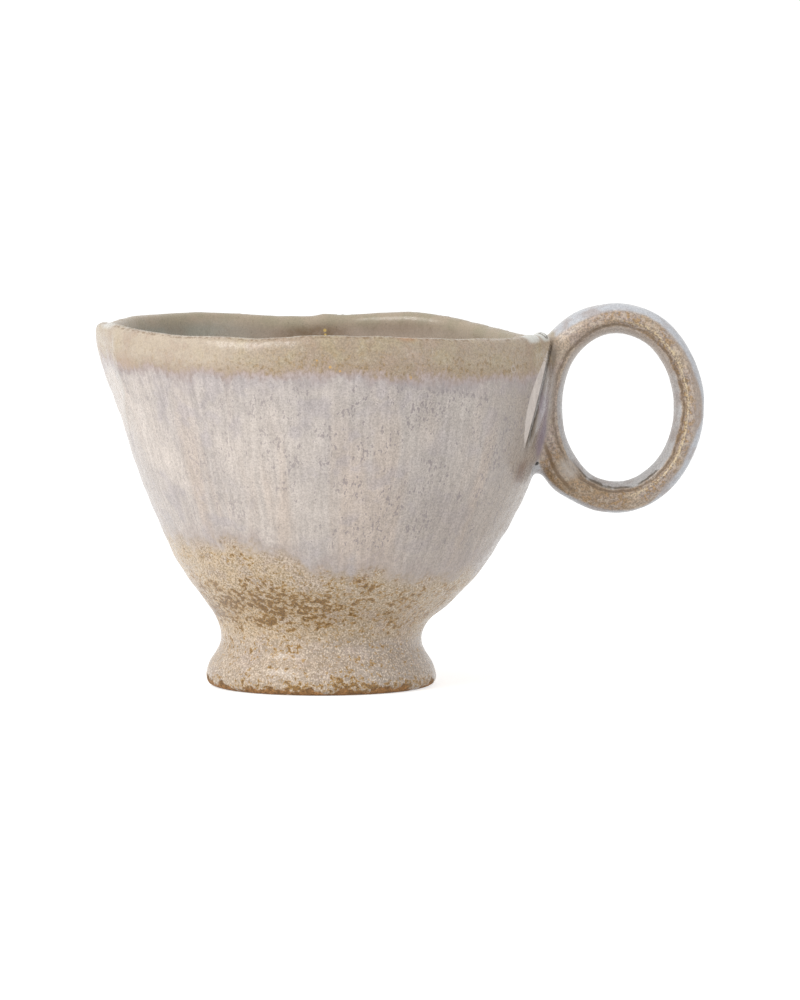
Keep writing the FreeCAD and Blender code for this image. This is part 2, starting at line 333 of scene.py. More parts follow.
def throwing_lines(skin):
    """Low rounds left by the fingers, clearer inside the bowl than outside."""
    rounds = np.sin(skin.height * 2 * math.pi / ROUND_SPACING + skin.wobble(*ROUNDS_DRIFT))
    below_lip = step_up(skin.height, 84.0, 78.0)
    rise = ROUNDS_INSIDE * skin.inside + ROUNDS_OUTSIDE * step_up(skin.out, 0.2, 0.5)
    return rounds * below_lip * (1 - skin.ring) * rise


def left_edge(skin):
    """A soft upright edge where the wall was pressed flat on its left."""
    away = past_left_edge(skin)
    flat = step_up(away, -0.5, -4.0) * step_up(away, -20.0, -9.0)
    reach = step_up(skin.height, 57.0, 68.0) * step_up(skin.height, 90.5, 87.0)
    reach = reach * step_up(skin.out, 0.2, 0.6)
    return reach * (EDGE_RIDGE * bell(away, 1.5) - EDGE_FLAT * flat)


def past_left_edge(skin):
    """How far around the wall a point lies past its left edge, towards the front."""
    away = (skin.turn - np.interp(skin.height, EDGE_HEIGHTS, EDGE_TURNS)) % 360
    return np.where(away > 180, away - 360, away) * np.radians(1.0) * skin.radius


def seat_fold(skin):
    """The wall stands up in a narrow facet beside the ring, and drops into a crease behind it."""
    right = facet_side(skin, FACET_RIGHT)
    past = skin.side - right
    wide = right - facet_side(skin, FACET_LEFT) + 0.01
    facet = np.clip(1 + past / wide, 0, 1) * step_up(past, 0.5, 0.0)
    crease = bell(past - 0.9, 0.55)
    reach = step_up(skin.height, 59.0, 66.0) * step_up(skin.height, 87.0, 83.0)
    reach = reach * step_up(skin.side, 45.0, 49.0) * step_up(skin.out, 0.4, 0.7) * (1 - skin.ring)
    return reach * (FACET_RISE * facet - CREASE_DEPTH * crease)


def facet_side(skin, places):
    """One side of the facet at each point's height, as a smooth curve through its measured places."""
    reach = np.clip(skin.height, FACET_HEIGHTS[0], FACET_HEIGHTS[-1])
    middle = np.mean(FACET_HEIGHTS)
    curve = np.polyfit(np.array(FACET_HEIGHTS) - middle, places, FACET_CURVE_DEGREE)
    return np.polyval(curve, reach - middle)


def strap_marks(skin):
    """The strap was folded: a bead runs along the middle of each broad side, between two grooves."""
    beyond = beyond_hole(skin)
    broad = skin.ring * step_up(np.abs(skin.normals[:, 1]), 0.3, 0.7)
    return broad * sum(height * bell(beyond - place, width) for place, width, height in STRAP_MARKS)


def soft_spots(skin):
    """Where the clay stands fuller or was pressed in, and where glaze gathered in a thick drop."""
    push = np.zeros(len(skin.points))
    for place, reach, height in SOFT_SPOTS:
        push += height * bell(np.linalg.norm((skin.points - place) / reach, axis=1), 1.0)
    return push


def from_ring_centre(skin):
    centre_side = skin.high[0] - HOLE_HALF_WIDTH - STRAP_THICKNESS
    centre_height = skin.high[2] - HOLE_HALF_HEIGHT - STRAP_THICKNESS
    return skin.side - centre_side, skin.height - centre_height


def beyond_hole(skin):
    """How far a point lies outside the edge of the ring's hole."""
    side, rise = from_ring_centre(skin)
    size = np.maximum(np.hypot(side / HOLE_HALF_WIDTH, rise / HOLE_HALF_HEIGHT), 0.1)
    slope = np.hypot(side / HOLE_HALF_WIDTH**2, rise / HOLE_HALF_HEIGHT**2)
    return (size - 1) * size / slope


# Where each point of the skin lies on the mug, kept as attributes that the glaze reads.
def mark_surface(skin):
    side, rise = from_ring_centre(skin)
    reach = np.hypot(side, rise) + 0.1
    under = step_up(skin.height, WELL_ROOF + 1, WELL_ROOF)
    under = under * step_up(skin.radius, WELL_RADIUS + 1.5, WELL_RADIUS)
    store(skin, "ring", skin.ring)
    store(skin, "inside", skin.inside)
    store(skin, "under", under)
    store(skin, "below_rim", rim_height(skin) - skin.height)
    store(skin, "ring_broad", np.abs(skin.normals[:, 1]))
    store(skin, "beyond_hole", np.clip(beyond_hole(skin), -FAR, 2 * FAR))
    store(skin, "ring_far", side / reach)
    store(skin, "ring_up", rise / reach)
    store(skin, "facet", facet_field(skin))
    store(skin, "crease", crease_field(skin))
    store(skin, "left_edge", left_edge_field(skin))


def store(skin, name, values):
    attribute = skin.mesh.attributes.new(name, "FLOAT", "POINT")
    attribute.data.foreach_set("value", values.astype(np.float32))


def facet_field(skin):
    """How far a point lies outside the facet beside the ring, below 0 on it."""
    left = facet_side(skin, FACET_LEFT)
    right = facet_side(skin, FACET_RIGHT)
    field = np.maximum(left - skin.side, skin.side - right)
    return np.where(skin.out > 0.2, np.clip(field, -FAR, FAR), FAR)


def crease_field(skin):
    """How far a point lies past the facet's sharp side, towards the ring."""
    past = skin.side - facet_side(skin, FACET_RIGHT)
    usual = (skin.out > 0.0) & (skin.side > 40) & (skin.height > 50)
    return np.where(usual, np.clip(past, -FAR, FAR), -FAR)


def left_edge_field(skin):
    """How far a point lies from the wall's left edge, or far off where that edge has faded out."""
    usual = (skin.out > 0.2) & (skin.height > 60) & (np.abs(past_left_edge(skin)) < FAR)
    return np.where(usual, past_left_edge(skin), FAR)


def rim_height(skin):
    """The height of the lip's crest at each point's turn around the mug."""
    step = 360 / CREST_BINS
    bins = ((skin.turn + 180) / step).astype(int) % CREST_BINS
    crest = np.zeros(CREST_BINS)
    upper = (skin.ring < 0.01) & (skin.height > LIP_REGION) & (skin.radius < LIP_RADIUS)
    np.maximum.at(crest, bins[upper], skin.height[upper])
    return np.interp(skin.turn, (np.arange(CREST_BINS) + 0.5) * step - 180, crest, period=360)


# The glaze.
def tint(red, green, blue):
    """A colour from its usual 0 to 255 values, as the linear values that a shader takes."""
    found = []
    for value in (red, green, blue):
        share = value / 255
        found.append(share / 12.92 if share <= 0.04045 else ((share + 0.055) / 1.055) ** 2.4)
    return (*found, 1.0)


# Colours of the pale glaze on the wall, some of them with painted shade, and a painted highlight.
LILAC_FRINGE = tint(192, 181, 181)
MAUVE_FRINGE = tint(194, 177, 171)
MAUVE_SKIRT = tint(190, 176, 170)
EDGE_PAINTED_HIGHLIGHT = tint(234, 228, 220)
CREAM = tint(231, 219, 209)
CREAM_IN_PAINTED_SHADE = tint(212, 202, 194)
CLOUD_GREY = tint(200, 191, 186)
WARM_RUN = tint(222, 203, 187)
COOL_GREY = tint(194, 185, 187)
TAUPE_AND_PAINTED_SHADE = tint(180, 167, 155)
LOW_TAUPE_AND_PAINTED_SHADE = tint(180, 164, 150)
GREY_SPECK = tint(150, 139, 141)

# Colours of the thin glaze on the lip, and of a painted highlight on it.
RIM_TAN = tint(184, 165, 142)
RIM_TAN_BY_RING = tint(195, 177, 155)
RIM_CREAM = tint(212, 195, 174)
RIM_OLIVE = tint(186, 172, 138)
RIM_PINK = tint(200, 175, 156)
RIM_BROWN = tint(176, 150, 126)
RIM_GOLD = tint(168, 142, 106)
RIM_PALE = tint(216, 203, 184)
CREST_BROWN = tint(138, 110, 80)
ROSY_TAN = tint(202, 174, 152)
RUST = tint(200, 146, 100)
PAINTED_HIGHLIGHT_WHITE = tint(238, 236, 230)
SPECK_GOLD = tint(226, 180, 108)
BUBBLE_PALE = tint(220, 206, 196)

# Colours of the thin coat above and on the foot; those by the ring are darker, partly painted shade.
COAT_TAN = tint(219, 194, 160)
COAT_TAN_IN_PAINTED_SHADE = tint(199, 179, 152)
FOOT_BEIGE = tint(199, 180, 160)
FOOT_BEIGE_IN_PAINTED_SHADE = tint(182, 168, 156)
COAT_PINK = tint(196, 179, 170)
COAT_SPECK = tint(162, 138, 104)
COAT_PALE = tint(240, 223, 202)
OCHRE = tint(200, 162, 100)
IRON_BROWN = tint(136, 100, 48)

# Colours of the inside.
INSIDE_OLIVE = tint(166, 162, 147)
INSIDE_TAN = tint(177, 159, 142)
INSIDE_PALE = tint(192, 178, 160)
SMUDGE_BROWN = tint(156, 140, 121)
STAIN_BROWN = tint(134, 110, 84)
INSIDE_GREY = tint(180, 172, 164)
INNER_LIP_TAN = tint(190, 174, 152)
INNER_LIP_OLIVE = tint(180, 168, 144)
DROP_GOLD = tint(226, 194, 112)
INSIDE_SPECK = tint(122, 106, 88)

# Colours of the ring's broad sides.
STRAP_TAN = tint(194, 174, 153)
STRAP_MAUVE = tint(182, 164, 152)
STRAP_BROWN = tint(164, 136, 102)
STRAP_GOLD = tint(172, 140, 98)
STRAP_PALE = tint(220, 203, 180)
STRAP_GREY = tint(190, 177, 170)
GROOVE_BROWN = tint(128, 108, 88)
BEAD_GOLD = tint(232, 210, 172)
CRACK_BROWN = tint(124, 96, 62)
MILKY_WHITE = tint(206, 196, 186)

# Colours of the ring's edges, outside and in its hole.
EDGE_BLUE = tint(212, 214, 219)
EDGE_MAUVE = tint(194, 186, 184)
HOLE_GREY = tint(206, 204, 203)
HOLE_TAUPE = tint(188, 180, 176)
HOLE_TAN = tint(196, 180, 165)
HOLE_STREAK = tint(104, 92, 76)

# Colours where the ring meets the wall, with a painted highlight on the facet and painted shade in the
# crease.
JOINT_PAINTED_SHADE = tint(128, 112, 94)
CREASE_PAINTED_SHADE = tint(84, 72, 60)
FACET_PAINTED_HIGHLIGHT = tint(238, 227, 219)
POOLED_LILAC = tint(152, 137, 150)
POOLED_ROSE = tint(154, 131, 120)
WEB_WHITE = tint(206, 208, 210)
POOL_WHITE = tint(240, 240, 232)
CRATER_GREY = tint(138, 126, 112)
PINHOLE_BLACK = tint(38, 34, 32)

# Colours of the bare clay.
TOASTED_CLAY = tint(186, 138, 88)
BROWN_CLAY = tint(146, 108, 66)
DARK_CLAY = tint(122, 92, 56)


class Tree:
    """Short names for building one material's nodes."""

    def __init__(self, material):
        material.use_nodes = True
        self.tree = material.node_tree
        self.tree.nodes.clear()

    def add(self, kind, inputs=(), **settings):
        made = self.tree.nodes.new(kind)
        for name, value in settings.items():
            setattr(made, name, value)
        for key, value in dict(inputs).items():
            if isinstance(value, bpy.types.NodeSocket):
                self.tree.links.new(value, made.inputs[key])
            else:
                made.inputs[key].default_value = value
        return made

    def math(self, operation, first, second=0.0):
        return self.add("ShaderNodeMath", {0: first, 1: second}, operation=operation).outputs[0]

    def vector(self, operation, inputs):
        return self.add("ShaderNodeVectorMath", inputs, operation=operation).outputs[0]

    def join(self, side=0.0, depth=0.0, height=0.0):
        """A place from its three parts."""
        return self.add("ShaderNodeCombineXYZ", {0: side, 1: depth, 2: height}).outputs[0]

    def total(self, first, *others):
        for other in others:
            first = self.math("ADD", first, other)
        return first

    def product(self, first, *others):
        for other in others:
            first = self.math("MULTIPLY", first, other)
        return first

    def sway(self, value, reach):
        """A noise value turned into a shift to both sides of 0."""
        return self.product(self.math("SUBTRACT", value, 0.5), reach)

    def fade(self, value, low, high, start=0.0, end=1.0):
        """A smooth step from start to end as the value goes from low to high."""
        inputs = {0: value, 1: low, 2: high, 3: start, 4: end}
        return self.add("ShaderNodeMapRange", inputs, interpolation_type="SMOOTHSTEP").outputs[0]

    def near(self, value, place, reach):
        """1 where the value is at the place, 0 where it is farther off than reach."""
        return self.fade(self.math("ABSOLUTE", self.math("SUBTRACT", value, place)), reach, reach * 0.35)

    def dot(self, spots, place, reach, soft=0.4):
        """1 within reach of a place on the mug, 0 outside."""
        away = self.add("ShaderNodeVectorMath", {0: spots.spot, 1: place}, operation="DISTANCE")
        return self.fade(away.outputs["Value"], reach, reach * (1 - soft))

    def blend(self, share, first, second, kind="MIX"):
        inputs = {0: share, 6: first, 7: second}
        return self.add("ShaderNodeMix", inputs, data_type="RGBA", blend_type=kind).outputs[2]

    def shade(self, colour, value, dark, light):
        """Darken and lighten a colour by a noise value."""
        return self.blend(1.0, colour, self.fade(value, 0.34, 0.66, dark, light), "MULTIPLY")

    def noise(self, place, scale, detail=3.0, rough=0.5, twist=0.0):
        inputs = {"Vector": place, "Scale": scale, "Detail": detail}
        inputs.update({"Roughness": rough, "Distortion": twist})
        return self.add("ShaderNodeTexNoise", inputs).outputs["Fac"]

    def mark(self, name):
        return self.add("ShaderNodeAttribute", attribute_name=name).outputs["Fac"]


class Places:
    """Where a point lies on the mug, in mm, and the noises that several parts of the glaze share."""

    def __init__(self, tree):
        place = tree.add("ShaderNodeTexCoord").outputs["Object"]
        self.spot = tree.vector("SCALE", {0: place, 3: 1 / MM})
        parts = tree.add("ShaderNodeSeparateXYZ", {0: self.spot}).outputs
        self.side, self.depth, self.height = parts[0], parts[1], parts[2]
        self.below = tree.mark("below_rim")
        self.flow = self.running(tree, FLOW_STRETCH)
        self.run = self.running(tree, RUN_STRETCH)
        self.cloud = tree.noise(self.spot, 0.05, 2.0)
        self.patch = tree.noise(self.spot, 0.17, 3.0)
        self.drip = tree.noise(self.run, 0.12, 2.0)
        self.streak = tree.noise(self.run, 0.9, 3.0, 0.6)
        self.dash = tree.noise(self.flow, 1.5, 2.0, 0.6)
        self.grain = tree.noise(self.spot, 2.3, 1.0, 0.6)
        self.mottle = tree.noise(self.spot, 0.9, 3.0, 0.6)

    def running(self, tree, stretch):
        """A place on the wall unrolled around the mug, with its height stretched."""
        around = tree.vector("NORMALIZE", {0: tree.join(self.side, self.depth)})
        around = tree.vector("SCALE", {0: around, 3: WALL_TURN_RADIUS})
        return tree.vector("ADD", {0: around, 1: tree.join(height=tree.product(self.height, stretch))})


def glaze_material():
    material = bpy.data.materials.new("reactive_glaze")
    tree = Tree(material)
    spots = Places(tree)
    bare = bare_share(tree, spots)
    colour = tree.blend(tree.mark("inside"), wall_colour(tree, spots), inside_colour(tree, spots))
    colour = joint_colour(tree, spots, colour)
    colour = tree.blend(tree.mark("ring"), colour, ring_colour(tree, spots))
    colour = pool_colour(tree, spots, colour)
    colour = tree.blend(bare, colour, bare_colour(tree, spots))
    rough = tree.fade(spots.mottle, 0.35, 0.65, 0.2, 0.38)
    rough = tree.math("MAXIMUM", rough, tree.product(bare, BARE_ROUGHNESS))
    bump = tree.add("ShaderNodeBump", {"Height": relief(tree, spots), "Strength": 1.0, "Distance": MM})
    inputs = {"Base Color": colour, "Roughness": rough, "IOR": GLAZE_IOR, "Normal": bump.outputs[0]}
    shader = tree.add("ShaderNodeBsdfPrincipled", inputs)
    tree.add("ShaderNodeOutputMaterial", {"Surface": shader.outputs[0]})
    return material


def relief(tree, spots):
    """Height of the glaze in mm: fine grain, runs, pinholes and the thin line on the ring's bead."""
    line = tree.near(tree.mark("beyond_hole"), BEAD_LINE, 0.5)
    line = tree.product(line, tree.fade(tree.mark("ring_far"), -0.2, 0.3))
    line = tree.product(line, tree.mark("ring"), tree.fade(tree.mark("ring_broad"), 0.4, 0.7))
    crater = tree.product(bubble_rim(tree, spots, CRATER, 1.5, 1.0), 0.3)
    bubble = tree.product(bubble_rim(tree, spots, BUBBLE, 1.2, 0.75), 0.12)
    grains = tree.total(
        tree.product(spots.grain, 0.005),
        tree.product(spots.mottle, 0.02),
        tree.product(spots.streak, 0.02),
    )
    return tree.total(grains, tree.product(line, 0.16), crater, bubble)


def bubble_rim(tree, spots, place, outer, inner):
    """1 on the raised rim that a burst bubble leaves."""
    return tree.math("SUBTRACT", tree.dot(spots, place, outer, 0.25), tree.dot(spots, place, inner, 0.25))


def wall_colour(tree, spots):
    """Pale glaze between the lip's tan band and the thin tan coat above the foot, with a painted highlight
    down the wall's left edge.
    """
    edge = tree.total(BAND, tree.sway(spots.drip, 4.0), tree.sway(spots.patch, 5.5))
    under = tree.total(spots.below, tree.product(edge, -1.0), tree.sway(spots.dash, 4.0))
    colour = body_colour(tree, spots)
    fringe = tree.product(tree.fade(under, 5.5, 0.4), tree.fade(spots.patch, 0.42, 0.6, 0.3, 0.8))
    colour = tree.blend(fringe, colour, tree.shade(LILAC_FRINGE, spots.streak, 0.82, 1.12))
    mauve = tree.shade(MAUVE_FRINGE, spots.dash, 0.84, 1.14)
    colour = tree.blend(tree.fade(under, 2.4, 0.2), colour, mauve)
    colour = tree.blend(tree.fade(under, 0.9, -1.6), colour, rim_colour(tree, spots))
    low_edge = tree.fade(spots.side, -26.0, 12.0, COAT_LEFT, COAT_RIGHT)
    low_edge = tree.total(low_edge, tree.sway(spots.drip, 8.0), tree.sway(spots.patch, 12.0))
    over = tree.total(spots.height, tree.product(low_edge, -1.0), tree.sway(spots.mottle, 7.0))
    skirt = tree.product(tree.fade(over, 7.5, 1.5), tree.fade(spots.patch, 0.4, 0.6, 0.4, 1.0))
    colour = tree.blend(tree.product(skirt, 0.65), colour, tree.shade(MAUVE_SKIRT, spots.dash, 0.76, 1.2))
    colour = tree.blend(tree.fade(over, 2.8, -2.8), colour, low_colour(tree, spots))
    # A painted highlight: a pale streaked line down the wall's soft left edge, below the lip's band.
    ridge_highlight = tree.near(tree.mark("left_edge"), 0.3, 0.9)
    ridge_highlight = tree.product(ridge_highlight, tree.fade(spots.streak, 0.35, 0.6, 0.2, 0.75))
    ridge_highlight = tree.product(ridge_highlight, tree.fade(spots.below, 6.0, 11.0))
    return tree.blend(ridge_highlight, colour, EDGE_PAINTED_HIGHLIGHT)


def body_colour(tree, spots):
    """Cream glaze run down in faint streaks, pinker and greyer in places, full of fine grey specks, and
    darker towards the ring and low on the right: partly the glaze, partly painted shade.
    """
    # Partly the glaze's own tone, partly painted shade: the cream darkens from the left side towards the
    # ring.
    colour = tree.blend(tree.fade(spots.side, -42.0, 20.0), CREAM, CREAM_IN_PAINTED_SHADE)
    colour = tree.blend(tree.fade(spots.cloud, 0.42, 0.62, 0.0, 0.5), colour, CLOUD_GREY)
    warm = tree.product(tree.fade(spots.drip, 0.5, 0.64), tree.fade(spots.height, 78.0, 55.0, 0.15, 0.55))
    colour = tree.blend(warm, colour, WARM_RUN)
    cool = tree.product(tree.fade(spots.patch, 0.5, 0.36), tree.fade(spots.cloud, 0.42, 0.56), 0.45)
    colour = tree.blend(cool, colour, COOL_GREY)
    # Partly painted shade: the wall turns taupe and darker near the ring.
    taupe_and_shade = tree.product(tree.fade(spots.side, 38.0, 50.0), tree.fade(spots.streak, 0.3, 0.6, 0.45, 0.85))
    colour = tree.blend(taupe_and_shade, colour, TAUPE_AND_PAINTED_SHADE)
    # Partly painted shade: the wall is darker low on the right.
    low = tree.product(tree.fade(spots.height, 62.0, 40.0), tree.fade(spots.side, 8.0, 40.0), 0.5)
    colour = tree.blend(low, colour, LOW_TAUPE_AND_PAINTED_SHADE)
    colour = tree.shade(colour, spots.streak, 0.9, 1.08)
    colour = tree.shade(colour, spots.grain, tree.fade(spots.side, 0.0, 35.0, 0.88, 0.83), 1.12)
    colour = tree.shade(colour, spots.dash, 0.95, 1.04)
    dense = tree.fade(spots.patch, 0.45, 0.6, -0.035, 0.075)
    dense = tree.total(dense, tree.fade(spots.cloud, 0.4, 0.6, -0.01, 0.02))
    cluster = tree.product(tree.dot(spots, *SPECK_CLUSTER, 0.8), 0.035)
    specks = tree.fade(tree.total(spots.dash, dense, cluster), 0.635, 0.69)
    strength = tree.fade(spots.side, -35.0, 15.0, 0.4, 0.7)
    return tree.blend(tree.product(specks, strength), colour, GREY_SPECK)


def rim_colour(tree, spots):
    """Where the glaze broke over the lip it is thin, and the clay makes it tan and olive."""
    left = tree.fade(spots.side, -2.0, -34.0)
    middle = tree.blend(tree.fade(spots.side, 22.0, 44.0), RIM_TAN, RIM_TAN_BY_RING)
    colour = tree.blend(left, middle, RIM_CREAM)
    colour = tree.shade(colour, spots.patch, 0.93, 1.06)
    olive = tree.product(tree.fade(spots.patch, 0.5, 0.64), tree.fade(spots.side, -30.0, -5.0, 0.25, 0.45))
    colour = tree.blend(olive, colour, RIM_OLIVE)
    colour = tree.blend(tree.product(tree.fade(spots.patch, 0.48, 0.36), 0.45), colour, RIM_PINK)
    colour = tree.blend(tree.product(tree.fade(spots.below, 5.0, 9.5), 0.55), colour, RIM_BROWN)
    dark, light = tree.fade(left, 0.2, 0.9, 0.86, 0.92), tree.fade(left, 0.2, 0.9, 1.12, 1.07)
    colour = tree.shade(colour, spots.grain, dark, light)
    gold = tree.product(tree.fade(spots.mottle, 0.53, 0.61), tree.fade(spots.below, 1.0, 8.0, 0.2, 0.7))
    gold = tree.product(gold, tree.fade(left, 0.2, 0.9, 1.15, 0.5))
    colour = tree.blend(gold, colour, tree.shade(RIM_GOLD, spots.grain, 0.75, 1.25))
    colour = tree.blend(tree.product(tree.fade(spots.mottle, 0.4, 0.33), 0.4), colour, RIM_PALE)
    crest = tree.product(tree.near(spots.below, 0.35, 0.4), tree.fade(spots.mottle, 0.48, 0.56))
    crest = tree.product(crest, tree.fade(spots.depth, 20.0, 0.0))
    colour = tree.blend(tree.product(crest, 0.6), colour, CREST_BROWN)
    rosy = tree.dot(spots, *ROSY_PATCH, 0.8)
    colour = tree.blend(tree.product(rosy, 0.55), colour, ROSY_TAN)
    touch = tree.product(tree.dot(spots, *RUSTY_TOUCH, 0.8), tree.fade(spots.below, 1.6, 0.4))
    colour = tree.blend(tree.product(touch, 0.55), colour, RUST)
    # A painted highlight: a white spot on the inner lip at the far left.
    painted_glint = tree.product(tree.dot(spots, *LIP_PAINTED_HIGHLIGHT, 0.7), tree.fade(spots.below, 1.8, 0.6))
    colour = tree.blend(tree.product(painted_glint, 0.75), colour, PAINTED_HIGHLIGHT_WHITE)
    for place, reach in GOLD_SPECKS:
        colour = tree.blend(tree.dot(spots, place, reach, 0.6), colour, SPECK_GOLD)
    return tree.blend(tree.product(bubble_rim(tree, spots, BUBBLE, 1.3, 0.8), 0.6), colour, BUBBLE_PALE)


def low_colour(tree, spots):
    """Below the pale glaze the coat is tan, darker towards the ring (partly the coat, partly painted shade),
    with brown clusters above the neck and flecks on the foot.
    """
    # Partly painted shade: the tan coat and the beige foot both darken from the left towards the ring.
    colour = tree.blend(tree.fade(spots.side, -24.0, 14.0), COAT_TAN, COAT_TAN_IN_PAINTED_SHADE)
    foot = tree.fade(tree.total(spots.height, tree.sway(spots.patch, 6.0)), 15.5, 11.5)
    beige = tree.blend(tree.fade(spots.side, -14.0, 18.0), FOOT_BEIGE, FOOT_BEIGE_IN_PAINTED_SHADE)
    colour = tree.blend(foot, colour, beige)
    colour = tree.blend(tree.product(tree.fade(spots.patch, 0.52, 0.64), 0.5), colour, COAT_PINK)
    colour = tree.shade(colour, spots.mottle, 0.83, 1.15)
    dots = tree.product(tree.fade(spots.grain, 0.53, 0.63), tree.fade(foot, 0.0, 1.0, 0.9, 0.6))
    colour = tree.blend(dots, colour, COAT_SPECK)
    colour = tree.blend(tree.product(tree.fade(spots.grain, 0.46, 0.35), 0.9), colour, COAT_PALE)
    return brown_clusters(tree, spots, colour)


def brown_clusters(tree, spots, colour):
    """Iron spots: a dense net above the neck on the left, sparser to the right, and flecks on the foot."""
    flat = tree.vector("MULTIPLY", {0: spots.spot, 1: (1.0, 1.0, 1.15)})
    blot = tree.noise(flat, 0.85, 4.0, 0.62, 0.2)
    group = tree.noise(flat, 0.2, 2.0, 0.6)
    front = tree.fade(spots.side, -2.0, 14.0, 1.0, 0.62)
    belt = tree.product(tree.fade(spots.height, 14.5, 18.5), tree.fade(spots.height, 33.0, 21.0), front)
    foot_edge = tree.fade(spots.height, 4.8, 1.4, -0.035, 0.08)
    value = tree.total(blot, tree.product(belt, 0.13), tree.sway(group, 0.45), foot_edge)
    ochre = tree.product(tree.fade(value, 0.54, 0.6), 0.8)
    colour = tree.blend(ochre, colour, tree.shade(OCHRE, spots.grain, 0.75, 1.2))
    brown = tree.product(tree.fade(value, 0.595, 0.628), 0.92)
    return tree.blend(brown, colour, tree.shade(IRON_BROWN, spots.grain, 0.7, 1.4))


def inside_colour(tree, spots):
    """The inside is a grey olive glaze, tan where it broke over the lip."""
    colour = tree.blend(tree.fade(spots.side, -34.0, -8.0), INSIDE_OLIVE, INSIDE_TAN)
    colour = tree.blend(tree.fade(spots.side, 18.0, 44.0), colour, INSIDE_PALE)
    smudge = tree.product(tree.fade(spots.patch, 0.46, 0.64), 0.5)
    colour = tree.blend(smudge, colour, SMUDGE_BROWN)
    stain = tree.dot(spots, *INSIDE_STAIN, 0.6)
    stain = tree.product(stain, tree.fade(spots.mottle, 0.3, 0.6, 0.6, 1.0), 0.85)
    colour = tree.blend(stain, colour, STAIN_BROWN)
    colour = tree.blend(tree.fade(spots.below, 12.0, 42.0), colour, INSIDE_GREY)
    lip = tree.blend(tree.fade(spots.patch, 0.4, 0.6), INNER_LIP_TAN, INNER_LIP_OLIVE)
    colour = tree.blend(tree.fade(spots.below, 4.4, 1.4), colour, lip)
    colour = tree.shade(colour, spots.grain, 0.94, 1.05)
    for place, reach in GOLD_DROPS:
        colour = tree.blend(tree.dot(spots, place, reach, 0.7), colour, DROP_GOLD)
    return tree.blend(tree.product(tree.fade(spots.dash, 0.66, 0.72), 0.4), colour, INSIDE_SPECK)


def ring_colour(tree, spots):
    """The strap's broad sides are tan and gold on their beads, and its edges pale under thick glaze."""
    beyond, far, up = tree.mark("beyond_hole"), tree.mark("ring_far"), tree.mark("ring_up")
    along = tree.join(beyond, tree.product(far, 9.0), tree.product(up, 9.0))
    brushed = tree.noise(along, 1.5, 3.0, 0.6)
    beyond = tree.total(beyond, tree.sway(spots.patch, 1.6))
    colour = tree.blend(tree.fade(spots.patch, 0.42, 0.58), STRAP_TAN, STRAP_MAUVE)
    low_left = tree.product(tree.fade(up, -0.35, -0.8), tree.fade(far, 0.35, -0.3))
    colour = tree.blend(tree.product(low_left, 0.6), colour, STRAP_BROWN)
    colour = tree.shade(colour, brushed, 0.84, 1.14)
    colour = tree.shade(colour, spots.grain, 0.72, 1.25)
    gold = tree.product(tree.fade(spots.mottle, 0.48, 0.58), tree.fade(spots.patch, 0.36, 0.6, 0.25, 0.9))
    where = tree.math("MAXIMUM", tree.fade(far, -0.5, 0.0, 0.15, 0.9), tree.fade(up, -0.3, -0.7, 0.0, 0.85))
    gold = tree.product(gold, where)
    colour = tree.blend(gold, colour, tree.shade(STRAP_GOLD, spots.grain, 0.72, 1.32))
    pale = tree.product(tree.fade(spots.mottle, 0.45, 0.36), 0.6)
    colour = tree.blend(pale, colour, STRAP_PALE)
    greyed = tree.product(tree.fade(beyond, 3.8, 5.4), tree.fade(far, 0.3, 0.8), 0.55)
    colour = tree.blend(greyed, colour, STRAP_GREY)
    groove = tree.product(tree.near(beyond, 1.75, 0.5), tree.fade(brushed, 0.4, 0.55, 0.35, 0.85))
    colour = tree.blend(groove, colour, GROOVE_BROWN)
    line = tree.product(tree.near(beyond, BEAD_LINE, 0.5), tree.fade(far, -0.1, 0.35))
    line = tree.product(line, tree.fade(spots.grain, 0.36, 0.6), 0.85)
    colour = tree.blend(line, colour, BEAD_GOLD)
    low_right = tree.product(tree.near(up, -0.62, 0.55), tree.fade(far, 0.2, 0.6))
    crack = tree.product(tree.near(beyond, 5.3, 0.7), tree.fade(far, -0.35, -0.6))
    crack = tree.product(crack, tree.fade(up, -0.3, -0.5), 0.8)
    colour = tree.blend(crack, colour, CRACK_BROWN)
    milky = tree.product(tree.dot(spots, *MILKY_SPOT, 0.7), tree.fade(spots.mottle, 0.35, 0.6, 0.5, 0.9))
    colour = tree.blend(milky, colour, MILKY_WHITE)
    thick = tree.total(tree.fade(up, -0.1, 0.7, 6.2, 4.9), tree.product(low_right, -1.5))
    thick = tree.total(thick, tree.fade(far, -0.35, -0.75, 0.0, 1.6))
    outer = tree.fade(tree.math("SUBTRACT", beyond, thick), 0.0, 0.8)
    inner_reach = tree.fade(far, -0.95, -0.3, 0.4, 0.9)
    inner = tree.fade(tree.math("SUBTRACT", beyond, inner_reach), 0.6, 0.0)
    edges = tree.math("MAXIMUM", tree.fade(tree.mark("ring_broad"), 0.5, 0.2), inner)
    edges = tree.math("MAXIMUM", edges, outer)
    return tree.blend(edges, colour, edge_colour(tree, spots, beyond, up))


def edge_colour(tree, spots, beyond, up):
    """Bluish white on the ring's outer edge, warmer and streaked with brown inside its hole."""
    outer = tree.blend(tree.fade(spots.patch, 0.46, 0.62), EDGE_BLUE, EDGE_MAUVE)
    inner = tree.blend(tree.fade(spots.patch, 0.42, 0.6), HOLE_GREY, HOLE_TAUPE)
    inner = tree.blend(tree.fade(up, 0.2, 0.9, 0.0, 0.8), inner, HOLE_TAN)
    line = tree.near(tree.total(beyond, tree.sway(spots.drip, 3.0)), 0.5, 0.4)
    streaks = tree.product(line, tree.fade(spots.patch, 0.36, 0.46), tree.fade(up, -0.72, -0.9))
    inner = tree.blend(tree.product(streaks, 0.85), inner, HOLE_STREAK)
    colour = tree.blend(tree.fade(beyond, 3.0, 4.0), inner, outer)
    return tree.shade(colour, spots.grain, 0.88, 1.1)


